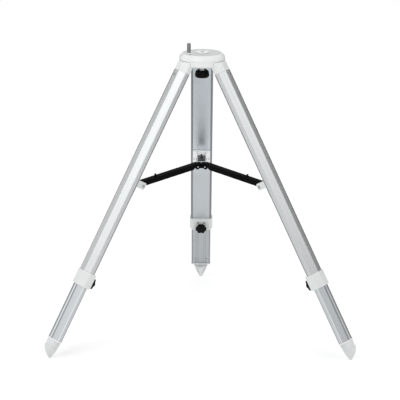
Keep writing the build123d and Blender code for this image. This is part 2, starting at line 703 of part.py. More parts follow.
def build_hub():
    """Spreader hub: a round core with three lugs that the stay arms straddle."""
    height = -hub_pivot_drop
    lug_half = stay_width / 2 - stay_sheet - guide_gap
    hub = Pos(0, 0, height) * Cylinder(hub_core_radius, 2 * hub_half_height)
    lug_outline = Polygon(
        (0, -hub_lug_radius), (hub_pivot_radius, -hub_lug_radius), (hub_pivot_radius, hub_lug_radius),
        (0, hub_lug_radius), align=None)
    lug_outline += Pos(hub_pivot_radius, 0) * Circle(hub_lug_radius)
    lug = extrude(Plane.XZ * lug_outline, amount=lug_half, both=True)
    bore = Pos(hub_pivot_radius, 0, 0) * Rot(90, 0, 0) * Cylinder(rivet_radius + seat_clearance, 4 * lug_half)
    for azimuth in leg_azimuths.values():
        hub += radial_plane(azimuth, height) * lug
    for azimuth in leg_azimuths.values():
        hub -= radial_plane(azimuth, height) * bore
    screw_hole = Cylinder(screw_radius + seat_clearance, 3 * hub_half_height)
    return hub - Pos(0, 0, height) * screw_hole


def build_hub_rivets():
    """The three rivets that the stay arms turn on."""
    reach = stay_width / 2 + guide_gap
    rivet = Rot(90, 0, 0) * Cylinder(rivet_radius, 2 * reach)
    for side in (-1, 1):
        rivet += Pos(0, side * (reach + rivet_head_height / 2), 0) * Rot(90, 0, 0) * Cylinder(
            rivet_head_radius, rivet_head_height)
    rivet = Pos(hub_pivot_radius, 0, 0) * rivet
    return [radial_plane(azimuth, -hub_pivot_drop) * rivet for azimuth in leg_azimuths.values()]


def build_hub_screw():
    """Screw in the middle of the hub."""
    shank = Cylinder(screw_radius, 2 * hub_half_height)
    head = Pos(0, 0, hub_half_height) * Cylinder(
        hub_screw_radius, hub_screw_height, align=(Align.CENTER, Align.CENTER, Align.MIN))
    head = fillet(head.edges().group_by(Axis.Z)[-1], hub_screw_height * 0.4)
    return Pos(0, 0, -hub_pivot_drop) * (shank + head)


# Pieces drawn once, on the axis
pieces = {
    "head_casting": build_head(),
    "centring_boss": build_centring_boss(),
    "azimuth_pin": build_azimuth_pin(),
    "hinge_bolts": build_hinge_bolts(),
    "fixing_bolt": build_fixing_bolt(),
    "retaining_clip": build_retaining_clip(),
    "fixing_knob": build_fixing_knob(),
    "spreader_hub": build_hub(),
    "hub_rivets": Compound(children=build_hub_rivets()),
    "hub_screw": build_hub_screw(),
}

# Pieces drawn once in a leg's or a stay arm's frame and placed three times
leg_pieces = {
    "leg_cap": [build_leg_cap()],
    "upper_tube": [build_upper_tube()],
    "leg_screws": build_leg_screws(),
    "collar": [build_collar()],
    "clamp_pad": [build_clamp_pad()],
    "clamp_knob": [build_clamp_knob()],
    "clamp_stud": [build_clamp_stud()],
    "lower_tube": [build_lower_tube()],
    "guide_block": [build_guide_block()],
    "foot": [build_foot()],
    "foot_screws": build_foot_screws(),
    "stay_bracket": [build_stay_bracket()],
    "bracket_pins": build_bracket_pins(),
}
stay_pieces = {
    "stay_arm": [build_stay_arm()],
    "tray_stud": [build_tray_stud()],
}
for leg, azimuth in leg_azimuths.items():
    for frame, drawn in ((leg_plane(azimuth), leg_pieces), (stay_plane(azimuth), stay_pieces)):
        for piece, solids in drawn.items():
            pieces[f"{leg}_{piece}"] = Compound(children=[frame * solid for solid in solids])

os.makedirs("parts", exist_ok=True)
for node, shape in pieces.items():
    export_step(shape, f"parts/{node}.step")
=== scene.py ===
"""Looks of the telescope tripod: finishes for the CAD pieces, turned and threaded details, studio and camera.

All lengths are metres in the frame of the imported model: the origin is on the tripod's axis in the plane of
the seat, +Z is up and +Y points to the rear leg.
"""

import logging
from abc import ABC, abstractmethod
from dataclasses import dataclass, field
from enum import Enum
from math import cos, pi, radians, sin

import bpy
import numpy as np
from mathutils import Matrix, Vector


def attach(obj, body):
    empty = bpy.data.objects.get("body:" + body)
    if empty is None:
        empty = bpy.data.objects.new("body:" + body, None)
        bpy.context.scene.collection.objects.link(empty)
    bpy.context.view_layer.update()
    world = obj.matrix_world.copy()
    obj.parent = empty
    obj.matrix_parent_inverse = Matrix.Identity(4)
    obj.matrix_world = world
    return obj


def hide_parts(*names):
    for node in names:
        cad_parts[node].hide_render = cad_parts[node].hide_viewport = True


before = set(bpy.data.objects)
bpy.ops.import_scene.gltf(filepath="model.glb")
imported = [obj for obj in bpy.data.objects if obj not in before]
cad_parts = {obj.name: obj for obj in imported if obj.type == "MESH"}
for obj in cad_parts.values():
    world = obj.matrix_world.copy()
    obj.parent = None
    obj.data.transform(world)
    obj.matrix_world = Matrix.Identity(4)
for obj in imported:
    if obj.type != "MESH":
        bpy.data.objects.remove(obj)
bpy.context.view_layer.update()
MM = 0.001
SHARP_ANGLE = radians(32.0)
MERGE_DIGITS = 8
LOG = logging.getLogger("tripod")

Colour = tuple[float, float, float]
Place = tuple[float, float, float]
Span = tuple[float, float]
Inputs = dict[str | int, object]
Socket = bpy.types.NodeSocket
Material = bpy.types.Material


class Leg(Enum):
    """The three legs, by the azimuth that each one points to, in degrees."""

    REAR = 90.0
    LEFT = 210.0
    RIGHT = 330.0

    @property
    def word(self) -> str:
        """The leg's name as it stands in the CAD nodes."""
        return self.name.lower()


class Section(Enum):
    """The two sections of a leg."""

    UPPER = "upper_tube"
    LOWER = "lower_tube"


@dataclass(frozen=True)
class LegFrame:
    """Frame of one leg: X across, Y outwards square to the inner face, Z up the leg, origin on the hinge."""

    leg: Leg
    hinge_radius: float = 47.5 * MM
    hinge_drop: float = 25.0 * MM
    lean: float = radians(29.25)

    def axes(self) -> np.ndarray:
        """Work out the frame's three axes.

        Returns:
            A 3 by 3 array with the axes X, Y and Z as its rows.
        """
        turn = radians(self.leg.value)
        outward = np.array([cos(turn), sin(turn), 0.0])
        across = np.array([sin(turn), -cos(turn), 0.0])
        upright = np.array([0.0, 0.0, 1.0])
        up_leg = upright * cos(self.lean) - outward * sin(self.lean)
        square = outward * cos(self.lean) + upright * sin(self.lean)
        return np.stack([across, square, up_leg])

    def origin(self) -> np.ndarray:
        """The middle of the hinge."""
        turn = radians(self.leg.value)
        return np.array([self.hinge_radius * cos(turn), self.hinge_radius * sin(turn), -self.hinge_drop])

    def place(self, points: np.ndarray) -> np.ndarray:
        """Carry an array of points from the leg's frame to the model's: x, y and z are its last axis."""
        return points @ self.axes() + self.origin()


def grid_faces(rows: int, columns: int, offset: int = 0) -> np.ndarray:
    """Number the four corners of each face of a grid that is closed round its columns.

    Args:
        rows: Points along the open direction.
        columns: Points round the closed direction.
        offset: Number of the grid's first point.

    Returns:
        An array of faces with four point numbers each.
    """
    row = np.arange(rows - 1)[:, None]
    column = np.arange(columns)[None, :]
    following = (column + 1) % columns
    corners = [row * columns + column, row * columns + following,
               (row + 1) * columns + following, (row + 1) * columns + column]
    return np.stack(corners, axis=-1).reshape(-1, 4) + offset


def add_object(name: str, data: bpy.types.ID) -> bpy.types.Object:
    """Put data into the scene as an object.

    Args:
        name: The object's name.
        data: Its mesh, light or camera.

    Returns:
        The new object.
    """
    piece = bpy.data.objects.new(name, data)
    bpy.context.scene.collection.objects.link(piece)
    return piece


def mesh_piece(name: str, sheets: list[np.ndarray], finishes: list[Material]) -> bpy.types.Object:
    """Make one object from grids of points that are each closed round their columns.

    The first and the last row of a grid may be single points, repeated: their doubles are merged, so that
    the poles close. Each face is halved, and a half that has shrunk to a line is dropped.

    Args:
        name: The piece's name.
        sheets: Arrays of points with rows, columns and x, y, z as their axes.
        finishes: The finish of each grid.

    Returns:
        The new object, at the origin, with its place in its mesh.
    """
    points = np.concatenate([sheet.reshape(-1, 3) for sheet in sheets])
    starts = np.cumsum([0] + [sheet.shape[0] * sheet.shape[1] for sheet in sheets[:-1]])
    grids = [grid_faces(sheet.shape[0], sheet.shape[1], int(start)) for sheet, start in zip(sheets, starts)]
    faces = np.concatenate(grids)
    slots = list(dict.fromkeys(finishes))
    owners = np.repeat([slots.index(finish) for finish in finishes], [len(grid) for grid in grids])
    merged = np.round(points, MERGE_DIGITS)
    _, first, number = np.unique(merged, axis=0, return_index=True, return_inverse=True)
    corners = number.reshape(-1)[faces]
    halves = np.concatenate([corners[:, [0, 1, 2]], corners[:, [0, 2, 3]]])
    whole = (halves != np.roll(halves, 1, axis=1)).all(axis=1)
    mesh = bpy.data.meshes.new(name)
    mesh.from_pydata(points[first].tolist(), [], halves[whole].tolist())
    mesh.polygons.foreach_set("use_smooth", np.ones(len(mesh.polygons), dtype=bool))
    mesh.set_sharp_from_angle(angle=SHARP_ANGLE)
    for finish in slots:
        mesh.materials.append(finish)
    mesh.polygons.foreach_set("material_index", np.tile(owners, 2)[whole].astype(np.int32))
    return add_object(name, mesh)


def scaled(colour: Colour, share: float) -> Colour:
    """The colour with each of its parts times a share."""
    return tuple(share * part for part in colour)


def spread(middle: float, change: Span) -> Span:
    """The two ends of a range round a middle value."""
    return middle + change[0], middle + change[1]


@dataclass(frozen=True)
class Pattern:
    """A noise: lumps in a metre, octaves, how strong the finer ones are, and the span of it that is used."""

    scale: float
    detail: float
    roughness: float = 0.55
    span: Span = (0.25, 0.75)


class NodeSheet:
    """The nodes of one material or of the world, added and linked by short calls."""

    def __init__(self, owner: Material | bpy.types.World, output: str = "OutputMaterial") -> None:
        """Start with an output only.

        Args:
            owner: The material or the world.
            output: The output node's type, without its prefix.
        """
        owner.use_nodes = True
        self.owner = owner
        self.tree = owner.node_tree
        self.tree.nodes.clear()
        self.output = self.node(output, {}).inputs[0]

    def node(self, kind: str, inputs: Inputs, **settings: object) -> bpy.types.Node:
        """Add one node, set it and link what feeds it.

        Args:
            kind: The node's type, without its prefix.
            inputs: Values or output sockets for the node's inputs, by name or place.
            settings: Values for the node's own fields.

        Returns:
            The new node.
        """
        node = self.tree.nodes.new("ShaderNode" + kind)
        for field_name, value in settings.items():
            setattr(node, field_name, value)
        for key, value in inputs.items():
            if isinstance(value, Socket):
                self.tree.links.new(value, node.inputs[key])
            else:
                node.inputs[key].default_value = value
        return node

    def add(self, kind: str, inputs: Inputs, **settings: object) -> Socket:
        """Add one node and take its first output."""
        return self.node(kind, inputs, **settings).outputs[0]

    def place(self) -> Socket:
        """The point's place in the model's frame."""
        return self.node("TexCoord", {}).outputs["Object"]

    def parts(self, place: Socket) -> tuple[Socket, Socket, Socket]:
        """The x, y and z of a place."""
        return tuple(self.node("SeparateXYZ", {0: place}).outputs)

    def math(self, operation: str, first: object, second: object = 0.0, third: object = 0.0) -> Socket:
        """Work out one number from up to three values or sockets."""
        return self.add("Math", {0: first, 1: second, 2: third}, operation=operation)

    def times(self, first: object, second: object) -> Socket:
        """The product of two numbers."""
        return self.math("MULTIPLY", first, second)

    def offset(self, value: Socket, middle: object) -> Socket:
        """The distance of a value from a middle one, on either side."""
        return self.math("ABSOLUTE", self.math("SUBTRACT", value, middle))

    def length(self, first: Socket, second: Socket) -> Socket:
        """The root of the sum of two numbers' squares."""
        return self.math("SQRT", self.math("ADD", self.times(first, first), self.times(second, second)))

    def waves(self, value: Socket, pitch: float) -> Socket:
        """A sine wave of the value, from 0 to 1."""
        wave = self.math("SINE", self.times(value, 2.0 * pi / pitch))
        return self.math("MULTIPLY_ADD", wave, 0.5, 0.5)

    def ramp(self, value: Socket, span: Span, ends: Span = (0.0, 1.0)) -> Socket:
        """Lead a value smoothly over a span of it, from one number to another."""
        inputs = {"Value": value, "From Min": span[0], "From Max": span[1],
                  "To Min": ends[0], "To Max": ends[1]}
        return self.add("MapRange", inputs, interpolation_type="SMOOTHSTEP")

    def noise(self, pattern: Pattern, place: Socket) -> Socket:
        """Lay a noise on a place."""
        inputs = {"Vector": place, "Scale": pattern.scale, "Detail": pattern.detail,
                  "Roughness": pattern.roughness}
        return self.add("TexNoise", inputs)

    def patches(self, pattern: Pattern, place: Socket, ends: Span = (0.0, 1.0)) -> Socket:
        """A noise whose used span is led smoothly from one number to another."""
        return self.ramp(self.noise(pattern, place), pattern.span, ends)

    def tint(self, share: Socket, first: Socket | Colour, second: Socket | Colour) -> Socket:
        """Mix two colours, given as they are or as sockets, by the second one's share."""
        mixed = [tone if isinstance(tone, Socket) else (*tone, 1.0) for tone in (first, second)]
        return self.node("Mix", {0: share, 6: mixed[0], 7: mixed[1]}, data_type="RGBA").outputs[2]

    def bump(self, height: Socket, depth: float, strength: float, under: Socket | None = None) -> Socket:
        """Raise the surface by a height of 0 to 1 times a depth, on top of the bump under it, if any."""
        lower = {} if under is None else {"Normal": under}
        return self.add("Bump", {"Height": height, "Distance": depth, "Strength": strength, **lower})

    def close(self, shader: Socket) -> Material | bpy.types.World:
        """Lead the last shader to the output, and hand over the material or the world."""
        self.tree.links.new(shader, self.output)
        return self.owner


class LegSheet(NodeSheet):
    """The nodes of a material on one leg, with the place in its frame: off its middle, outwards and up it."""

    def __init__(self, name: str, legs: LegFrame) -> None:
        """Start the material and work out the place.

        Args:
            name: The finish's name, which the leg's name follows.
            legs: The leg's frame.
        """
        super().__init__(bpy.data.materials.new(f"{name}_{legs.leg.word}"))
        turn = Matrix(legs.axes().tolist())
        shift = -(turn @ Vector(legs.origin().tolist()))
        inputs = {"Vector": self.place(), "Location": shift, "Rotation": turn.to_euler("XYZ")}
        self.along = self.add("Mapping", inputs)
        across, self.depth, self.height = self.parts(self.along)
        self.side = self.math("ABSOLUTE", across)


@dataclass(frozen=True)
class Finish(ABC):
    """A finish, whose surface each kind of finish lays out in its own way."""

    name: str

    @abstractmethod
    def surface(self, sheet: NodeSheet) -> Inputs:
        """The inputs of the surface shader."""

    def material(self, legs: LegFrame | None = None) -> Material:
        """Make the finish's material, on one leg where its frame is given."""
        sheet = LegSheet(self.name, legs) if legs else NodeSheet(bpy.data.materials.new(self.name))
        return sheet.close(sheet.add("BsdfPrincipled", self.surface(sheet)))


@dataclass(frozen=True)
class TonedFinish(Finish):
    """A finish in two tones: clouds of the second lie in the first, and specks change the roughness."""

    colour: Colour
    shade: Colour
    roughness: float
    roughness_change: Span
    clouds: Pattern
    specks: Pattern

    def surface(self, sheet: NodeSheet) -> Inputs:
        """Lay out the colour and the roughness.

        Args:
            sheet: The material's nodes.

        Returns:
            The inputs of the surface shader.
        """
        place = sheet.place()
        return {
            "Base Color": sheet.tint(sheet.patches(self.clouds, place), self.colour, self.shade),
            "Roughness": sheet.patches(self.specks, place, spread(self.roughness, self.roughness_change)),
        }


@dataclass(frozen=True)
class PaintFinish(TonedFinish):
    """Sprayed paint on a casting or a pressing: faint clouds of tone, and a fine orange peel."""

    roughness: float = 0.34
    roughness_change: Span = (-0.05, 0.06)
    clouds: Pattern = Pattern(38.0, 4.0, span=(0.3, 0.72))
    specks: Pattern = Pattern(900.0, 2.0, span=(0.3, 0.7))
    lumps: Pattern = Pattern(520.0, 2.0)
    peel: float = 0.03 * MM
    peel_strength: float = 0.5
    gloss: float = 0.5
    coat: float = 0.25
    coat_roughness: float = 0.12

    def surface(self, sheet: NodeSheet) -> Inputs:
        """Lay out the paint's tones, peel, gloss and clear coat.

        Args:
            sheet: The material's nodes.

        Returns:
            The inputs of the surface shader.
        """
        return super().surface(sheet) | {
            "Normal": sheet.bump(sheet.noise(self.lumps, sheet.place()), self.peel, self.peel_strength),
            "Specular IOR Level": self.gloss,
            "Coat Weight": self.coat,
            "Coat Roughness": self.coat_roughness,
        }


@dataclass(frozen=True)
class SeatedPaintFinish(PaintFinish):
    """Paint with a bare machined seat on top: fine turning rings on a grey face."""

    seat_colour: Colour = (0.60, 0.61, 0.61)
    seat_metal: float = 0.55
    seat_dulling: float = 0.08
    seat_outer: float = 54.4 * MM
    seat_edge: float = 0.3 * MM
    seat_drop: float = 0.25 * MM
    ring_pitch: float = 0.6 * MM
    ring_depth: float = 0.02 * MM
    ring_strength: float = 0.35
    smears: Pattern = Pattern(60.0, 3.0)
    smear_shade: float = 0.86

    def surface(self, sheet: NodeSheet) -> Inputs:
        """Lay the machined seat into the paint, inside one radius and close to the seat's plane.

        Args:
            sheet: The material's nodes.

        Returns:
            The inputs of the surface shader.
        """
        paint = super().surface(sheet)
        place = sheet.place()
        x, y, z = sheet.parts(place)
        radius = sheet.length(x, y)
        flat = sheet.math("LESS_THAN", sheet.math("ABSOLUTE", z), self.seat_drop)
        inside = sheet.ramp(radius, (self.seat_outer, self.seat_outer + self.seat_edge), (1.0, 0.0))
        seat = sheet.times(flat, inside)
        shade = scaled(self.seat_colour, self.smear_shade)
        bare = sheet.tint(sheet.patches(self.smears, place), self.seat_colour, shade)
        rings = sheet.times(sheet.waves(radius, self.ring_pitch), seat)
        paint["Base Color"] = sheet.tint(seat, paint["Base Color"], bare)
        paint["Roughness"] = sheet.math("MULTIPLY_ADD", seat, self.seat_dulling, paint["Roughness"])
        paint["Metallic"] = sheet.times(seat, self.seat_metal)
        paint["Normal"] = sheet.bump(rings, self.ring_depth, self.ring_strength, paint["Normal"])
        return paint


@dataclass(frozen=True)
class BracketFinish(PaintFinish):
    """Paint on a stay bracket, whose base plate is painted brighter, a painted highlight, and given metal and
    a full clear coat.
    """

    plate_face: float = -8.5 * MM
    plate_margin: Span = (0.2 * MM, 0.4 * MM)
    plate_share: float = 0.9
    plate_highlight_colour: Colour = (0.95, 0.965, 0.965)
    plate_coat: float = 1.0
    plate_metal: float = 0.45

    def surface(self, sheet: LegSheet) -> Inputs:
        """Lay the base plate into the paint: painted brighter, a painted highlight, with metal and clear
        coat.

        Args:
            sheet: The nodes of one leg's material.

        Returns:
            The inputs of the surface shader.
        """
        paint = super().surface(sheet)
        off_plate = sheet.offset(sheet.depth, self.plate_face)
        plate = sheet.ramp(off_plate, self.plate_margin, (self.plate_share, 0.0))
        # painted highlight: the base plate's colour is lighter than the bracket's paint
        paint["Base Color"] = sheet.tint(plate, paint["Base Color"], self.plate_highlight_colour)
        paint["Metallic"] = sheet.times(plate, self.plate_metal)
        paint["Coat Weight"] = sheet.math("MULTIPLY_ADD", plate, self.plate_coat - self.coat, self.coat)
        return paint


@dataclass(frozen=True)
class ExtrusionFinish(Finish):
    """Satin anodised extrusion: fine die lines along the leg, and painted dark lines of shade along its
    rounded corners.
    """

    section: Section
    colour: Colour
    line_shade_colour: Colour
    inner_colour: Colour
    inner_low_shade_colour: Colour
    half_width: float
    inner_face: float
    outer_face: float
    metal: float = 0.92
    roughness: float = 0.36
    roughness_change: Span = (-0.05, 0.06)
    die_stretch: float = 0.004
    streaks: Pattern = Pattern(900.0, 3.0, 0.7)
    streak_depth: float = 0.008 * MM
    streak_strength: float = 0.3
    bands: Pattern = Pattern(160.0, 2.0, 0.5, (0.3, 0.7))
    band_shade: float = 0.96
    clouds: Pattern = Pattern(9.0, 3.0, 0.5, (0.45, 0.75))
    cloud_share: float = 0.4
    cloud_shade: float = 0.92
    corner: float = 4.6 * MM
    corner_edge: Span = (1.1, 0.9)
    corner_depth: float = 4.6 * MM
    corner_fade: float = 0.6
    outer_half_width: float = 11.7 * MM
    outer_margin: float = 0.5 * MM
    rounding: float = 5.0 * MM
    rounding_fall: float = 0.72 * MM
    rounding_polish: float = 0.5
    rounding_start: float = 0.2
    inner_margin: float = 1.0 * MM
    inner_share: float = 0.85
    inner_dulling: float = 0.12
    inner_shade_fade: Span = (345.0 * MM, 470.0 * MM)
    inner_groove: float = 12.0 * MM
    inner_groove_width: float = 6.0 * MM
    inner_groove_edge: Span = (0.3 * MM, 0.9 * MM)
    inner_groove_share: float = 0.9
    groove: float = 4.5 * MM
    groove_fade: float = 0.8
    groove_depth: float = 2.0 * MM
    land_margin: float = 0.3 * MM
    land_edge: float = 0.6 * MM
    shoulder: float = 8.3 * MM
    shoulder_line: Span = (0.8 * MM, 1.8 * MM)
    shoulder_share: Span = (0.6, 0.18)
    flank: Span = (2.5 * MM, 1.5 * MM)
    highlight_gain: float = 1.55

    def surface(self, sheet: LegSheet) -> Inputs:
        """Lay out the drawn metal, with its outer edges rubbed smooth and its inner face left dull.

        Args:
            sheet: The nodes of one leg's material, whose frame gives the direction of the die lines.

        Returns:
            The inputs of the surface shader.
        """
        drawn = sheet.add("Mapping", {"Vector": sheet.along, "Scale": (1.0, 1.0, self.die_stretch)})
        streaks = sheet.noise(self.streaks, drawn)
        rough = sheet.ramp(streaks, self.streaks.span, spread(self.roughness, self.roughness_change))
        edge, outside = self.outer_edges(sheet)
        smooth = sheet.math("MULTIPLY_ADD", sheet.times(edge, outside), -self.rounding_polish, 1.0)
        dull = sheet.math("MULTIPLY_ADD", self.inner_side(sheet), self.inner_dulling, smooth)
        fall = sheet.math("SUBTRACT", 1.0, sheet.times(edge, edge))
        rounded = sheet.bump(fall, self.rounding_fall, 1.0)
        return {
            "Base Color": self.tone(sheet, drawn),
            "Metallic": self.metal,
            "Roughness": sheet.times(rough, dull),
            "Normal": sheet.bump(streaks, self.streak_depth, self.streak_strength, rounded),
        }

    def tone(self, sheet: LegSheet, drawn: Socket) -> Socket:
        """Lay the tones over each other: bands, the inner face's painted light and shade, clouds, painted
        dark lines of shade and painted highlights.

        Args:
            sheet: The nodes of one leg's material.
            drawn: The place in the leg's frame, drawn out along the leg.

        Returns:
            The socket of the colour.
        """
        bands = sheet.patches(self.bands, drawn)
        banded = sheet.tint(bands, self.colour, scaled(self.colour, self.band_shade))
        # painted light and shade: the inner face takes its own tone; an upper tube's is lighter and bluer at
        # the top, a painted reflection of the floor, and darkens down the leg as painted shade; a lower
        # tube's is darker throughout, painted shade
        low = sheet.ramp(sheet.height, (-self.inner_shade_fade[1], -self.inner_shade_fade[0]), (1.0, 0.0))
        inner_light_and_shade = sheet.tint(low, self.inner_colour, self.inner_low_shade_colour)
        faced = sheet.tint(sheet.times(self.inner_side(sheet), self.inner_share), banded, inner_light_and_shade)
        clouds = sheet.patches(self.clouds, sheet.along, (0.0, self.cloud_share))
        worn = sheet.tint(clouds, faced, scaled(self.colour, self.cloud_shade))
        # painted shade: dark lines along the corners, the grooves' edges and the outer lands
        line_shaded = sheet.tint(self.lines(sheet), worn, self.line_shade_colour)
        if self.section is Section.UPPER:
            return line_shaded
        # painted highlight: the marked lines are made brighter than the metal
        return sheet.tint(self.painted_highlight_lines(sheet), line_shaded, scaled(self.colour, self.highlight_gain))

    def outer_edges(self, sheet: LegSheet) -> tuple[Socket, Socket]:
        """Mark the outer face's two edges, which are rubbed round and smooth, and the outer face itself.

        Args:
            sheet: The nodes of one leg's material.

        Returns:
            The socket that rises from 0 to 1 towards the edges and stays 1 beyond them, and that of the face.
        """
        nearness = sheet.add("MapRange", {
            "Value": sheet.side, "From Min": self.outer_half_width - self.rounding,
            "From Max": self.outer_half_width})
        beyond = sheet.math("GREATER_THAN", sheet.depth, self.rounding_start * self.outer_face)
        face = sheet.math("GREATER_THAN", sheet.depth, self.outer_face - self.outer_margin)
        return sheet.times(nearness, beyond), face

    def inner_side(self, sheet: LegSheet) -> Socket:
        """Mark the inner face, which hands never polish, so that it stays duller than the others."""
        return sheet.math("LESS_THAN", sheet.depth, self.inner_face + self.inner_margin)

    def painted_highlight_lines(self, sheet: LegSheet) -> Socket:
        """Mark the painted highlights on a lower tube: the outer groove's floor, shoulders and sides.

        Args:
            sheet: The nodes of one leg's material.

        Returns:
            The socket of the mark, from 0 to 1.
        """
        middle = sheet.ramp(sheet.side, (self.groove_fade * self.groove, self.groove), (1.0, 0.0))
        outer = sheet.math("GREATER_THAN", sheet.depth, self.outer_face - self.groove_depth)
        floor = sheet.times(middle, outer)
        line = sheet.ramp(sheet.offset(sheet.depth, self.shoulder), self.shoulder_line, self.shoulder_share)
        flank = sheet.ramp(sheet.side, (self.half_width - self.flank[0], self.half_width - self.flank[1]))
        return sheet.math("MAXIMUM", floor, sheet.times(line, flank))

    def lines(self, sheet: LegSheet) -> Socket:
        """Mark the painted dark lines of shade: the inner corners, and on a lower tube the grooves' edges and
        outer lands.

        Args:
            sheet: The nodes of one leg's material.

        Returns:
            The socket of the mark, from 0 to 1.
        """
        start, end = [self.half_width - share * self.corner for share in self.corner_edge]
        edge = sheet.ramp(sheet.side, (start, end))
        start, end = [self.inner_face + share * self.corner_depth for share in (self.corner_fade, 1.0)]
        inside = sheet.ramp(sheet.depth, (start, end), (1.0, 0.0))
        if self.section is Section.UPPER:
            return sheet.times(edge, inside)
        off_edge = sheet.offset(sheet.offset(sheet.side, self.inner_groove), self.inner_groove_width / 2)
        groove = sheet.ramp(off_edge, self.inner_groove_edge, (self.inner_groove_share, 0.0))
        inner = sheet.times(sheet.math("MAXIMUM", edge, groove), inside)
        outside = sheet.math("GREATER_THAN", sheet.depth, self.outer_face - self.land_margin)
        land = sheet.times(sheet.ramp(sheet.side, (self.groove, self.groove + self.land_edge)), outside)
        return sheet.math("MAXIMUM", inner, land)


@dataclass(frozen=True)
class MouldedFinish(TonedFinish):
    """Moulded plastic: an even eroded texture and slight changes of tone."""

    roughness: float = 0.46
    roughness_change: Span = (-0.08, 0.08)
    clouds: Pattern = Pattern(55.0, 3.0, span=(0.3, 0.7))
    specks: Pattern = Pattern(1400.0, 2.0, 0.6)
    texture: float = 0.05 * MM
    texture_strength: float = 0.45
    gloss: float = 0.45

    def surface(self, sheet: NodeSheet) -> Inputs:
        """Lay out the plastic's tones, gloss and texture, which is as deep as its specks are strong.

        Args:
            sheet: The material's nodes.

        Returns:
            The inputs of the surface shader.
        """
        grain = sheet.noise(self.specks, sheet.place())
        return super().surface(sheet) | {
            "Normal": sheet.bump(grain, self.texture, self.texture_strength),
            "Specular IOR Level": self.gloss,
        }


@dataclass(frozen=True)
class FootFinish(MouldedFinish):
    """Moulded foot with a lip painted bright, a painted highlight; an inner facet with a painted highlight in
    its middle and painted shade at its rim; and a painted shadow under the lip.
    """

    lip_end: float = 855.6 * MM
    lip_inner_side: float = 2.0 * MM
    lip_highlight_colour: Colour = (0.85, 0.86, 0.86)
    lip_inner_colour: Colour = (0.96, 0.97, 0.97)
    facet_highlight_colour: Colour = (0.86, 0.875, 0.875)
    facet_rim_shade_colour: Colour = (0.62, 0.63, 0.635)
    facet_rim: Span = (0.40, 0.65)
    facet_margin: Span = (0.3 * MM, 0.8 * MM)
    facet_depth: float = -11.4 * MM
    facet_station: float = 864.6 * MM
    facet_slope: float = 0.0755
    facet_half_width: float = 19.4 * MM
    facet_taper: float = 0.405
    lip_shadow_colour: Colour = (0.34, 0.35, 0.36)
    lip_shadow_height: Span = (3.2 * MM, 1.28 * MM)
    lip_shadow_depth: Span = (2.0 * MM, 4.0 * MM)
    lip_shadow_share: float = 0.6

    def surface(self, sheet: LegSheet) -> Inputs:
        """Lay the facet's painted highlight and shade, the painted shadow under the lip and the lip's painted
        highlight over the plastic.

        Args:
            sheet: The nodes of one leg's material.

        Returns:
            The inputs of the surface shader.
        """
        plastic = super().surface(sheet)
        facet, facet_light_and_shade = self.facet(sheet)
        # painted highlight and shade: the facet is lighter in its middle and darker at its rim
        pale = sheet.tint(facet, plastic["Base Color"], facet_light_and_shade)
        # painted shadow: a dark band just under the lip, on the inner side
        low, high = [-self.lip_end - drop for drop in self.lip_shadow_height]
        corner = sheet.ramp(sheet.height, (low, high))
        inner = sheet.ramp(sheet.depth, self.lip_shadow_depth, (self.lip_shadow_share, 0.0))
        lip_shadowed = sheet.tint(sheet.times(corner, inner), pale, self.lip_shadow_colour)
        # painted highlight: the lip is lighter than the plastic, most of all on its inner side
        lip = sheet.math("GREATER_THAN", sheet.height, -self.lip_end)
        lip_side = sheet.math("LESS_THAN", sheet.depth, self.lip_inner_side)
        lip_highlight_tone = sheet.tint(lip_side, self.lip_highlight_colour, self.lip_inner_colour)
        plastic["Base Color"] = sheet.tint(lip, lip_shadowed, lip_highlight_tone)
        return plastic

    def facet(self, sheet: LegSheet) -> tuple[Socket, Socket]:
        """Mark the facet, a sloped plane that narrows to the tip, and tone it with a painted highlight in its
        middle and painted shade at its rim.

        Args:
            sheet: The nodes of one leg's material.

        Returns:
            The socket of the mark, from 0 to 1, and that of the facet's colour.
        """
        below = sheet.math("ADD", sheet.height, self.facet_station)
        plane = sheet.math("MULTIPLY_ADD", below, -self.facet_slope, self.facet_depth)
        facet = sheet.ramp(sheet.offset(sheet.depth, plane), self.facet_margin, (1.0, 0.0))
        half_width = sheet.math("MULTIPLY_ADD", below, self.facet_taper, self.facet_half_width)
        rim = sheet.ramp(sheet.math("DIVIDE", sheet.side, half_width), self.facet_rim)
        return facet, sheet.tint(rim, self.facet_highlight_colour, self.facet_rim_shade_colour)


@dataclass(frozen=True)
class TurnedFinish(TonedFinish):
    """Turned and plated metal: fine rings round the model's upright axis and soft smears."""

    roughness: float = 0.28
    roughness_change: Span = (-0.06, 0.1)
    clouds: Pattern = Pattern(240.0, 4.0, span=(0.3, 0.7))
    specks: Pattern = Pattern(240.0, 4.0)
    ring_pitch: float = 0.35 * MM
    ring_depth: float = 0.008 * MM
    ring_strength: float = 0.3

    def surface(self, sheet: NodeSheet) -> Inputs:
        """Lay out the metal's tones and rings.

        Args:
            sheet: The material's nodes.

        Returns:
            The inputs of the surface shader.
        """
        _, _, height = sheet.parts(sheet.place())
        rings = sheet.waves(height, self.ring_pitch)
        return super().surface(sheet) | {
            "Metallic": 1.0,
            "Normal": sheet.bump(rings, self.ring_depth, self.ring_strength),
        }


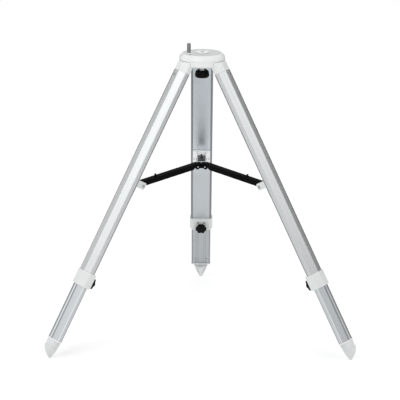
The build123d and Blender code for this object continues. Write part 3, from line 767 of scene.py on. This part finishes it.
@dataclass(frozen=True)
class RivetFinish(Finish):
    """Rivets of the hub, painted over with it, so that only the middle of each head is rubbed bare."""

    colour: Colour
    paint: Colour
    pivot_radius: float = 18.7 * MM
    pivot_drop: float = 325.7 * MM
    bare_radius: float = 2.0 * MM
    bare_edge: float = 0.6 * MM
    roughness: float = 0.40
    gloss: float = 0.02

    def surface(self, sheet: NodeSheet) -> Inputs:
        """Lay out the paint and the bare middle, by the distance to the nearest rivet's axis.

        Args:
            sheet: The material's nodes.

        Returns:
            The inputs of the surface shader.
        """
        x, y, z = sheet.parts(sheet.place())
        turns = [radians(leg.value) for leg in Leg]
        reaches = [sheet.math("MULTIPLY_ADD", x, cos(turn), sheet.times(y, sin(turn))) for turn in turns]
        reach = sheet.math("MAXIMUM", sheet.math("MAXIMUM", reaches[0], reaches[1]), reaches[2])
        outward = sheet.math("SUBTRACT", reach, self.pivot_radius)
        away = sheet.length(outward, sheet.math("ADD", z, self.pivot_drop))
        bare = sheet.ramp(away, (self.bare_radius, self.bare_radius + self.bare_edge), (1.0, 0.0))
        return {
            "Base Color": sheet.tint(bare, self.paint, self.colour),
            "Metallic": bare,
            "Roughness": self.roughness,
            "Specular IOR Level": self.gloss,
        }


@dataclass(frozen=True)
class Finishes:
    """All the tripod's finishes: paints, extrusions, plastics and metals."""

    head: Finish = SeatedPaintFinish("white_head_paint", (0.865, 0.875, 0.865), (0.825, 0.835, 0.83))
    white: Finish = PaintFinish("white_paint", (0.80, 0.82, 0.80), (0.76, 0.78, 0.77))
    collar: Finish = PaintFinish("collar_paint", (0.772, 0.800, 0.790), (0.734, 0.762, 0.756))
    bracket: Finish = BracketFinish("bracket_paint", (0.80, 0.82, 0.80), (0.76, 0.78, 0.77))
    # painted light and shade: each extrusion's dark line colour and its inner face colours
    upper: Finish = ExtrusionFinish(
        "upper_aluminium", Section.UPPER, colour=(0.557, 0.572, 0.574), line_shade_colour=(0.23, 0.24, 0.25),
        inner_colour=(0.645, 0.695, 0.740), inner_low_shade_colour=(0.520, 0.556, 0.582),
        half_width=31.75 * MM, inner_face=-5.5 * MM, outer_face=22.2 * MM,
        corner=6.2 * MM, corner_depth=6.0 * MM)
    lower: Finish = ExtrusionFinish(
        "lower_aluminium", Section.LOWER, colour=(0.500, 0.518, 0.529), line_shade_colour=(0.31, 0.325, 0.335),
        inner_colour=(0.464, 0.490, 0.509), inner_low_shade_colour=(0.464, 0.490, 0.509),
        half_width=29.65 * MM, inner_face=-3.4 * MM, outer_face=20.1 * MM,
        roughness=0.45, outer_half_width=11.1 * MM)
    black_steel: Finish = PaintFinish(
        "black_steel", (0.0060, 0.0060, 0.0063), (0.0085, 0.0085, 0.0090), 0.20,
        peel=0.003 * MM, gloss=0.0028, coat=0.0)
    # painted sheen: grey black steel for the rear arm's stud
    rear_stud_sheen_steel: Finish = PaintFinish(
        "sheen_grey_black_steel", (0.070, 0.071, 0.072), (0.100, 0.101, 0.102), 0.45, gloss=0.1, coat=0.0)
    black_plastic: Finish = MouldedFinish(
        "black_plastic", (0.0035, 0.0035, 0.0038), (0.0060, 0.0060, 0.0065), 0.5, gloss=0.06)
    hub_plastic: Finish = MouldedFinish(
        "hub_plastic", (0.0035, 0.0035, 0.0038), (0.0060, 0.0060, 0.0065), 0.5, gloss=0.005)
    hub_rivet: Finish = RivetFinish("hub_rivet", (0.50, 0.50, 0.505), (0.0060, 0.0060, 0.0065))
    guide_plastic: Finish = MouldedFinish("guide_plastic", (0.05, 0.05, 0.055), (0.06, 0.06, 0.065))
    foot: Finish = FootFinish("pale_plastic", (0.77, 0.79, 0.785), (0.73, 0.75, 0.75))
    dark_steel: Finish = TurnedFinish("dark_steel", (0.27, 0.27, 0.275), (0.19, 0.19, 0.195), 0.34)
    bright_steel: Finish = TurnedFinish("bright_steel", (0.74, 0.74, 0.74), (0.62, 0.62, 0.63))
    rivet_steel: Finish = TurnedFinish("rivet_steel", (0.44, 0.44, 0.445), (0.34, 0.34, 0.345), 0.40)
    screw_steel: Finish = TurnedFinish("screw_steel", (0.016, 0.016, 0.017), (0.010, 0.010, 0.011), 0.36)
    brass: Finish = TurnedFinish("pad_brass", (0.62, 0.46, 0.18), (0.50, 0.36, 0.14))


def dress(node: str, finish: Finish, legs: LegFrame | None = None) -> None:
    """Give a CAD node its finish.

    Args:
        node: The node's name.
        finish: The finish.
        legs: The frame of the node's leg, where the finish follows it.
    """
    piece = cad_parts[node]
    material = finish.material(legs)
    if not piece.material_slots:
        piece.data.materials.append(material)
    for slot in piece.material_slots:
        slot.material = material
    LOG.info("dressed %s with %s", node, material.name)


@dataclass
class PanScrew:
    """Pan-head screw with a cross recess, drawn along -Y: the head's underside lies at y = 0.

    The recess's sizes are shares of the head's radius, and the fall and the depth are shares of its height.
    """

    radius: float
    head_radius: float
    head_height: float
    length: float
    bar_width: float = 0.17
    bar_slope: float = 0.07
    bar_length: float = 0.62
    bar_end_slope: float = 0.12
    dome_fall: float = 0.55
    recess_depth: float = 0.62
    rings: int = 22
    spokes: int = 40

    def recess(self, x: np.ndarray, z: np.ndarray) -> np.ndarray:
        """Depth of the recess, as a share: 1 in its middle and 0 outside, with sloped walls.

        The cross is where either of two thin bars holds the point: the smaller of the distances from the
        two middle lines is within a bar's width, and the larger one is within its length.

        Args:
            x: Places across the head.
            z: Places along the head's other axis.

        Returns:
            The share of the depth at each place.
        """
        thin = np.minimum(np.abs(x), np.abs(z)) / self.head_radius
        long = np.maximum(np.abs(x), np.abs(z)) / self.head_radius
        across = np.clip((self.bar_width - thin) / self.bar_slope, 0.0, 1.0)
        return across * np.clip((self.bar_length - long) / self.bar_end_slope, 0.0, 1.0)

    def points(self) -> np.ndarray:
        """Points of the screw, as one closed grid from the head's middle to the shank's end.

        The head's height falls from its middle as the fourth power of the radius, and the recess is taken
        from it. The underside and the shank follow as plain rings.

        Returns:
            An array of points with rings, spokes and x, y, z as its axes.
        """
        share = np.linspace(0.0, 1.0, self.rings)[:, None]
        turn = np.linspace(0.0, 2 * pi, self.spokes, endpoint=False)[None, :]
        x = self.head_radius * share * np.cos(turn)
        z = self.head_radius * share * np.sin(turn)
        dome = self.head_height * (1.0 - self.dome_fall * share ** 4)
        height = dome - self.recess_depth * self.head_height * self.recess(x, z)
        head = np.stack([x, -height, z], axis=-1)
        radii = np.array([self.head_radius, self.radius, self.radius, 0.0])[:, None]
        depths = np.array([0.0, 0.0, self.length, self.length])[:, None]
        rest = np.stack([radii * np.cos(turn), depths + 0.0 * turn, radii * np.sin(turn)], axis=-1)
        return np.concatenate([head, rest])


@dataclass
class TripodHead:
    """The head: casting, boss, azimuth pin and hinge bolts."""

    finishes: Finishes

    def dress(self) -> None:
        """Finish the head's CAD pieces."""
        dress("head_casting", self.finishes.head)
        dress("centring_boss", self.finishes.head)
        dress("azimuth_pin", self.finishes.dark_steel)
        dress("hinge_bolts", self.finishes.bright_steel)


@dataclass
class FixingKnob:
    """The bolt on the axis with its thread, its clip and the hand knob."""

    finishes: Finishes
    shank_radius: float = 5.0 * MM
    shank_end_share: float = 0.9
    thread_radius: float = 4.8 * MM
    thread_depth: float = 0.55 * MM
    thread_pitch: float = 1.5 * MM
    thread_rows: int = 61
    spokes: int = 64
    shank_top: float = 2.6 * MM
    top: float = 6.4 * MM
    bottom: float = -64.0 * MM
    chamfer: float = 1.0 * MM

    def bolt_points(self) -> np.ndarray:
        """Points of the bolt, as one closed grid from its lower end to its upper one.

        The radius is the shank's up to the boss. Above, it is the thread's, less a triangle wave of the
        height in pitches and the turn, and a chamfer takes it in at the top.

        Returns:
            An array of points with rows, spokes and x, y, z as its axes.
        """
        turn = np.linspace(0.0, 2 * pi, self.spokes, endpoint=False)[None, :]
        shank = np.array([self.bottom, self.bottom, self.shank_top, self.shank_top])
        shank_radii = np.array([0.0, 1.0, 1.0, self.shank_end_share])[:, None] * self.shank_radius
        thread = np.linspace(self.shank_top, self.top, self.thread_rows)
        wave = np.abs(((thread[:, None] / self.thread_pitch - turn / (2 * pi)) % 1.0) * 2.0 - 1.0)
        limit = np.minimum(self.thread_radius, self.thread_radius - self.chamfer + self.top - thread)[:, None]
        thread_radii = np.minimum(self.thread_radius - self.thread_depth * wave, limit)
        radius = np.concatenate([shank_radii + 0.0 * turn, thread_radii, 0.0 * turn])
        height = np.concatenate([shank, thread, [self.top]])[:, None] + 0.0 * turn
        return np.stack([radius * np.cos(turn), radius * np.sin(turn), height], axis=-1)

    def build(self) -> None:
        """Make the threaded bolt in place of the plain one."""
        steel = self.finishes.bright_steel.material()
        bolt = mesh_piece("threaded_fixing_bolt", [self.bolt_points()], [steel])
        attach(bolt, "fixing")
        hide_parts("fixing_bolt")
        LOG.info("built %s", bolt.name)

    def dress(self) -> None:
        """Finish the knob and the clip."""
        dress("fixing_knob", self.finishes.black_plastic)
        dress("retaining_clip", self.finishes.bright_steel)


@dataclass
class LegAssembly:
    """One leg: cap, tubes, collar, clamp, bracket and foot, with the screws' heads worked out."""

    leg: Leg
    finishes: Finishes
    inner_face: float = -5.5 * MM
    outer_face: float = 22.2 * MM
    lower_inner_face: float = -3.4 * MM
    cap_screw_station: float = 44.0 * MM
    collar_wall: float = 3.4 * MM
    collar_screw_station: float = 655.5 * MM
    collar_screw_offset: float = 9.4 * MM
    bracket_plate: float = 3.0 * MM
    bracket_screw_station: float = 385.5 * MM
    bracket_screw_offset: float = 21.5 * MM
    foot_screw_stations: tuple[float, float] = (845.7 * MM, 828.0 * MM)
    foot_screw_offset: float = 17.4 * MM
    screw: PanScrew = field(default_factory=lambda: PanScrew(
        radius=2.0 * MM, head_radius=3.6 * MM, head_height=2.0 * MM, length=5.0 * MM))
    foot_screw: PanScrew = field(default_factory=lambda: PanScrew(
        radius=1.2 * MM, head_radius=2.0 * MM, head_height=1.0 * MM, length=4.0 * MM))

    def screw_sheets(self) -> list[np.ndarray]:
        """Grids of the cap's, collar's and bracket's screws, in the leg's frame.

        Returns:
            One grid for each screw.
        """
        head = self.screw.points()
        turned = head * np.array([-1.0, -1.0, 1.0])
        sheets = [turned + np.array([0.0, self.outer_face, -self.cap_screw_station])]
        collar_seat = self.inner_face - self.collar_wall
        plate_seat = self.inner_face - self.bracket_plate
        collar = np.array([self.collar_screw_offset, collar_seat, -self.collar_screw_station])
        bracket = np.array([self.bracket_screw_offset, plate_seat, -self.bracket_screw_station])
        for place in (collar, bracket):
            sheets += [head + place * np.array([side, 1.0, 1.0]) for side in (-1.0, 1.0)]
        return sheets

    def screw_finishes(self) -> list[Material]:
        """Finishes of the cap's plain screw, the collar's dark ones and the bracket's painted ones.

        Returns:
            One finish for each screw.
        """
        plain = self.finishes.rivet_steel.material()
        dark = self.finishes.screw_steel.material()
        painted = self.finishes.white.material()
        return [plain, dark, dark, painted, painted]

    def foot_screw_sheets(self) -> list[np.ndarray]:
        """Grids of the foot's four screws, in the leg's frame.

        Returns:
            One grid for each screw.
        """
        head = self.foot_screw.points()
        places = [(side * self.foot_screw_offset, self.lower_inner_face, -station)
                  for station in self.foot_screw_stations for side in (-1.0, 1.0)]
        return [head + np.array(place) for place in places]

    def build(self) -> None:
        """Make the screws with their recesses in place of the plain ones."""
        placed = LegFrame(self.leg)
        word = self.leg.word
        foot_screws = self.foot_screw_sheets()
        foot_finishes = [self.finishes.dark_steel.material()] * len(foot_screws)
        groups = (("leg_screws", self.screw_sheets(), self.screw_finishes(), "upper_leg"),
                  ("foot_screws", foot_screws, foot_finishes, "lower_leg"))
        for group, sheets, finishes, body in groups:
            sheets = [placed.place(sheet) for sheet in sheets]
            screws = mesh_piece(f"{word}_{group}_recessed", sheets, finishes)
            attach(screws, f"{word}_{body}")
            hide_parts(f"{word}_{group}")
            LOG.info("built %s", screws.name)

    def dress(self) -> None:
        """Finish the leg's CAD pieces."""
        placed = LegFrame(self.leg)
        finishes = {
            "leg_cap": (self.finishes.white, None),
            "collar": (self.finishes.collar, None),
            "stay_bracket": (self.finishes.bracket, placed),
            "upper_tube": (self.finishes.upper, placed),
            "lower_tube": (self.finishes.lower, placed),
            "clamp_pad": (self.finishes.brass, None),
            "clamp_stud": (self.finishes.bright_steel, None),
            "clamp_knob": (self.finishes.black_plastic, None),
            "guide_block": (self.finishes.guide_plastic, None),
            "foot": (self.finishes.foot, placed),
            "bracket_pins": (self.finishes.rivet_steel, None),
        }
        for piece, (finish, legs) in finishes.items():
            dress(f"{self.leg.word}_{piece}", finish, legs)


@dataclass
class Spreader:
    """The hub and the three stay arms with their studs."""

    finishes: Finishes

    def dress(self) -> None:
        """Finish the spreader's CAD pieces. The rear arm's stud is painted grey, a painted sheen."""
        dress("spreader_hub", self.finishes.hub_plastic)
        dress("hub_rivets", self.finishes.hub_rivet)
        dress("hub_screw", self.finishes.dark_steel)
        for leg in Leg:
            dress(f"{leg.word}_stay_arm", self.finishes.black_steel)
            # painted sheen: the rear stud is grey instead of black
            stud = self.finishes.rear_stud_sheen_steel if leg is Leg.REAR else self.finishes.black_steel
            dress(f"{leg.word}_tray_stud", stud)


@dataclass
class Lamp:
    """A square soft lamp that looks at a point on the tripod."""

    name: str
    place: Place
    watts: float
    size: float
    target: Place = (0.0, 0.0, -0.35)

    def build(self) -> None:
        """Add the lamp to the scene."""
        light = bpy.data.lights.new(self.name, "AREA")
        light.energy = self.watts
        light.shape = "SQUARE"
        light.size = self.size
        lamp = add_object(self.name, light)
        lamp.location = self.place
        aim = Vector(self.target) - Vector(self.place)
        lamp.rotation_euler = aim.to_track_quat("-Z", "Y").to_euler()
        LOG.info("lamp %s", self.name)


@dataclass
class Screen:
    """A grey upright screen near the tripod, which only shows as a reflection on bright metal."""

    name: str
    start: tuple[float, float]
    end: tuple[float, float]
    grey: float
    bottom: float = -0.8
    top: float = 1.2
    shade: float = 0.94
    roughness: float = 0.9

    def build(self) -> None:
        """Add the screen to the scene, hidden from the camera and without a shadow."""
        ends = np.array([self.start, self.end, self.end, self.start])
        heights = np.array([self.bottom, self.bottom, self.top, self.top])
        mesh = bpy.data.meshes.new(self.name)
        mesh.from_pydata(np.column_stack([ends, heights]).tolist(), [], [[0, 1, 2, 3]])
        screen = add_object(self.name, mesh)
        tone = (self.grey,) * 3
        cloth = MouldedFinish(f"{self.name}_cloth", tone, scaled(tone, self.shade), self.roughness, gloss=0.0)
        mesh.materials.append(cloth.material())
        screen.visible_camera = False
        screen.visible_diffuse = False
        screen.visible_shadow = False
        LOG.info("screen %s", self.name)


@dataclass
class Studio:
    """White floor, even light and the camera of the photograph."""

    floor_height: float = -820.6 * MM
    floor_size: float = 40.0
    floor_colour: Colour = (0.88, 0.88, 0.88)
    floor_glow: float = 0.28
    world_light: float = 0.80
    world_seen: float = 1.0
    white: Colour = (1.0, 1.0, 1.0)
    lens: float = 149.356
    sensor: float = 36.0
    view_end: float = 200.0
    camera_place: Place = (0.0, -4.57368, 0.8729)
    camera_pan: float = radians(0.044)
    camera_pitch: float = radians(15.883)
    camera_roll: float = radians(0.378)
    lamps: list[Lamp] = field(default_factory=lambda: [
        Lamp("key_lamp", (-2.2, -2.6, 2.4), 36.0, 2.8),
        Lamp("fill_lamp", (2.6, -2.1, 2.2), 9.0, 1.6),
    ])
    screens: list[Screen] = field(default_factory=lambda: [
        Screen("right_screen", (1.9, 1.75), (2.6, 0.6), 0.41, bottom=0.05),
        Screen("right_low_screen", (1.9, 1.75), (2.6, 0.6), 0.22, top=0.05),
        Screen("right_edge_screen", (0.7, 2.4), (1.9, 1.75), 0.12),
        Screen("front_screen", (1.90, -1.85), (2.30, -1.35), 0.48, top=0.60),
        Screen("left_edge_screen", (-2.0, 1.75), (-0.7, 2.4), 0.12),
    ])

    def seen_rays(self, sheet: NodeSheet) -> Socket:
        """Mark the rays that show the background: from the camera, mirrored, or let through.

        Args:
            sheet: The nodes of the floor's material or of the world.

        Returns:
            The socket of the mark, 1 for such a ray.
        """
        rays = sheet.node("LightPath", {}).outputs
        first = sheet.math("MAXIMUM", rays["Is Camera Ray"], rays["Is Glossy Ray"])
        return sheet.math("MAXIMUM", first, rays["Is Transmission Ray"])

    def light_world(self) -> None:
        """Make the world white to the eye, and an even soft light to the tripod."""
        world = bpy.data.worlds.new("studio")
        sheet = NodeSheet(world, "OutputWorld")
        soft, plain = [sheet.add("Background", {"Color": (*self.white, 1.0), "Strength": strength})
                       for strength in (self.world_light, self.world_seen)]
        sheet.close(sheet.add("MixShader", {0: self.seen_rays(sheet), 1: soft, 2: plain}))
        bpy.context.scene.world = world

    def lay_floor(self) -> None:
        """Lay the pale floor: a plane that takes shadows and is otherwise white to the eye."""
        corners = np.array([(-1, -1), (1, -1), (1, 1), (-1, 1)]) * self.floor_size / 2
        points = np.column_stack([corners, np.full(4, self.floor_height)])
        mesh = bpy.data.meshes.new("floor")
        mesh.from_pydata(points.tolist(), [], [[0, 1, 2, 3]])
        floor = add_object("floor", mesh)
        sheet = NodeSheet(bpy.data.materials.new("floor_paper"))
        paper = sheet.add("BsdfDiffuse", {"Color": (*self.floor_colour, 1.0)})
        seen_glow = sheet.times(self.seen_rays(sheet), self.floor_glow)
        glow = sheet.add("Emission", {"Color": (*self.white, 1.0), "Strength": seen_glow})
        mesh.materials.append(sheet.close(sheet.add("AddShader", {0: paper, 1: glow})))
        LOG.info("floor laid")

    def set_camera(self) -> None:
        """Set the camera where the photograph was taken from."""
        lens = bpy.data.cameras.new("camera")
        lens.lens = self.lens
        lens.sensor_width = self.sensor
        lens.sensor_fit = "HORIZONTAL"
        lens.clip_end = self.view_end
        camera = add_object("camera", lens)
        camera.matrix_world = (
            Matrix.Translation(self.camera_place)
            @ Matrix.Rotation(self.camera_pan, 4, "Z")
            @ Matrix.Rotation(pi / 2 - self.camera_pitch, 4, "X")
            @ Matrix.Rotation(self.camera_roll, 4, "Z"))
        bpy.context.scene.camera = camera

    def build(self) -> None:
        """Set up the whole studio."""
        bpy.context.scene.view_settings.view_transform = "Standard"
        self.light_world()
        self.lay_floor()
        for fitting in (*self.lamps, *self.screens):
            fitting.build()
        self.set_camera()


def main() -> None:
    """Dress the tripod, add its turned details and light it."""
    logging.basicConfig(level=logging.INFO, format="%(name)s: %(message)s")
    finishes = Finishes()
    TripodHead(finishes).dress()
    knob = FixingKnob(finishes)
    knob.build()
    knob.dress()
    for leg in Leg:
        assembly = LegAssembly(leg, finishes)
        assembly.build()
        assembly.dress()
    Spreader(finishes).dress()
    Studio().build()


if __name__ == "__main__":
    main()
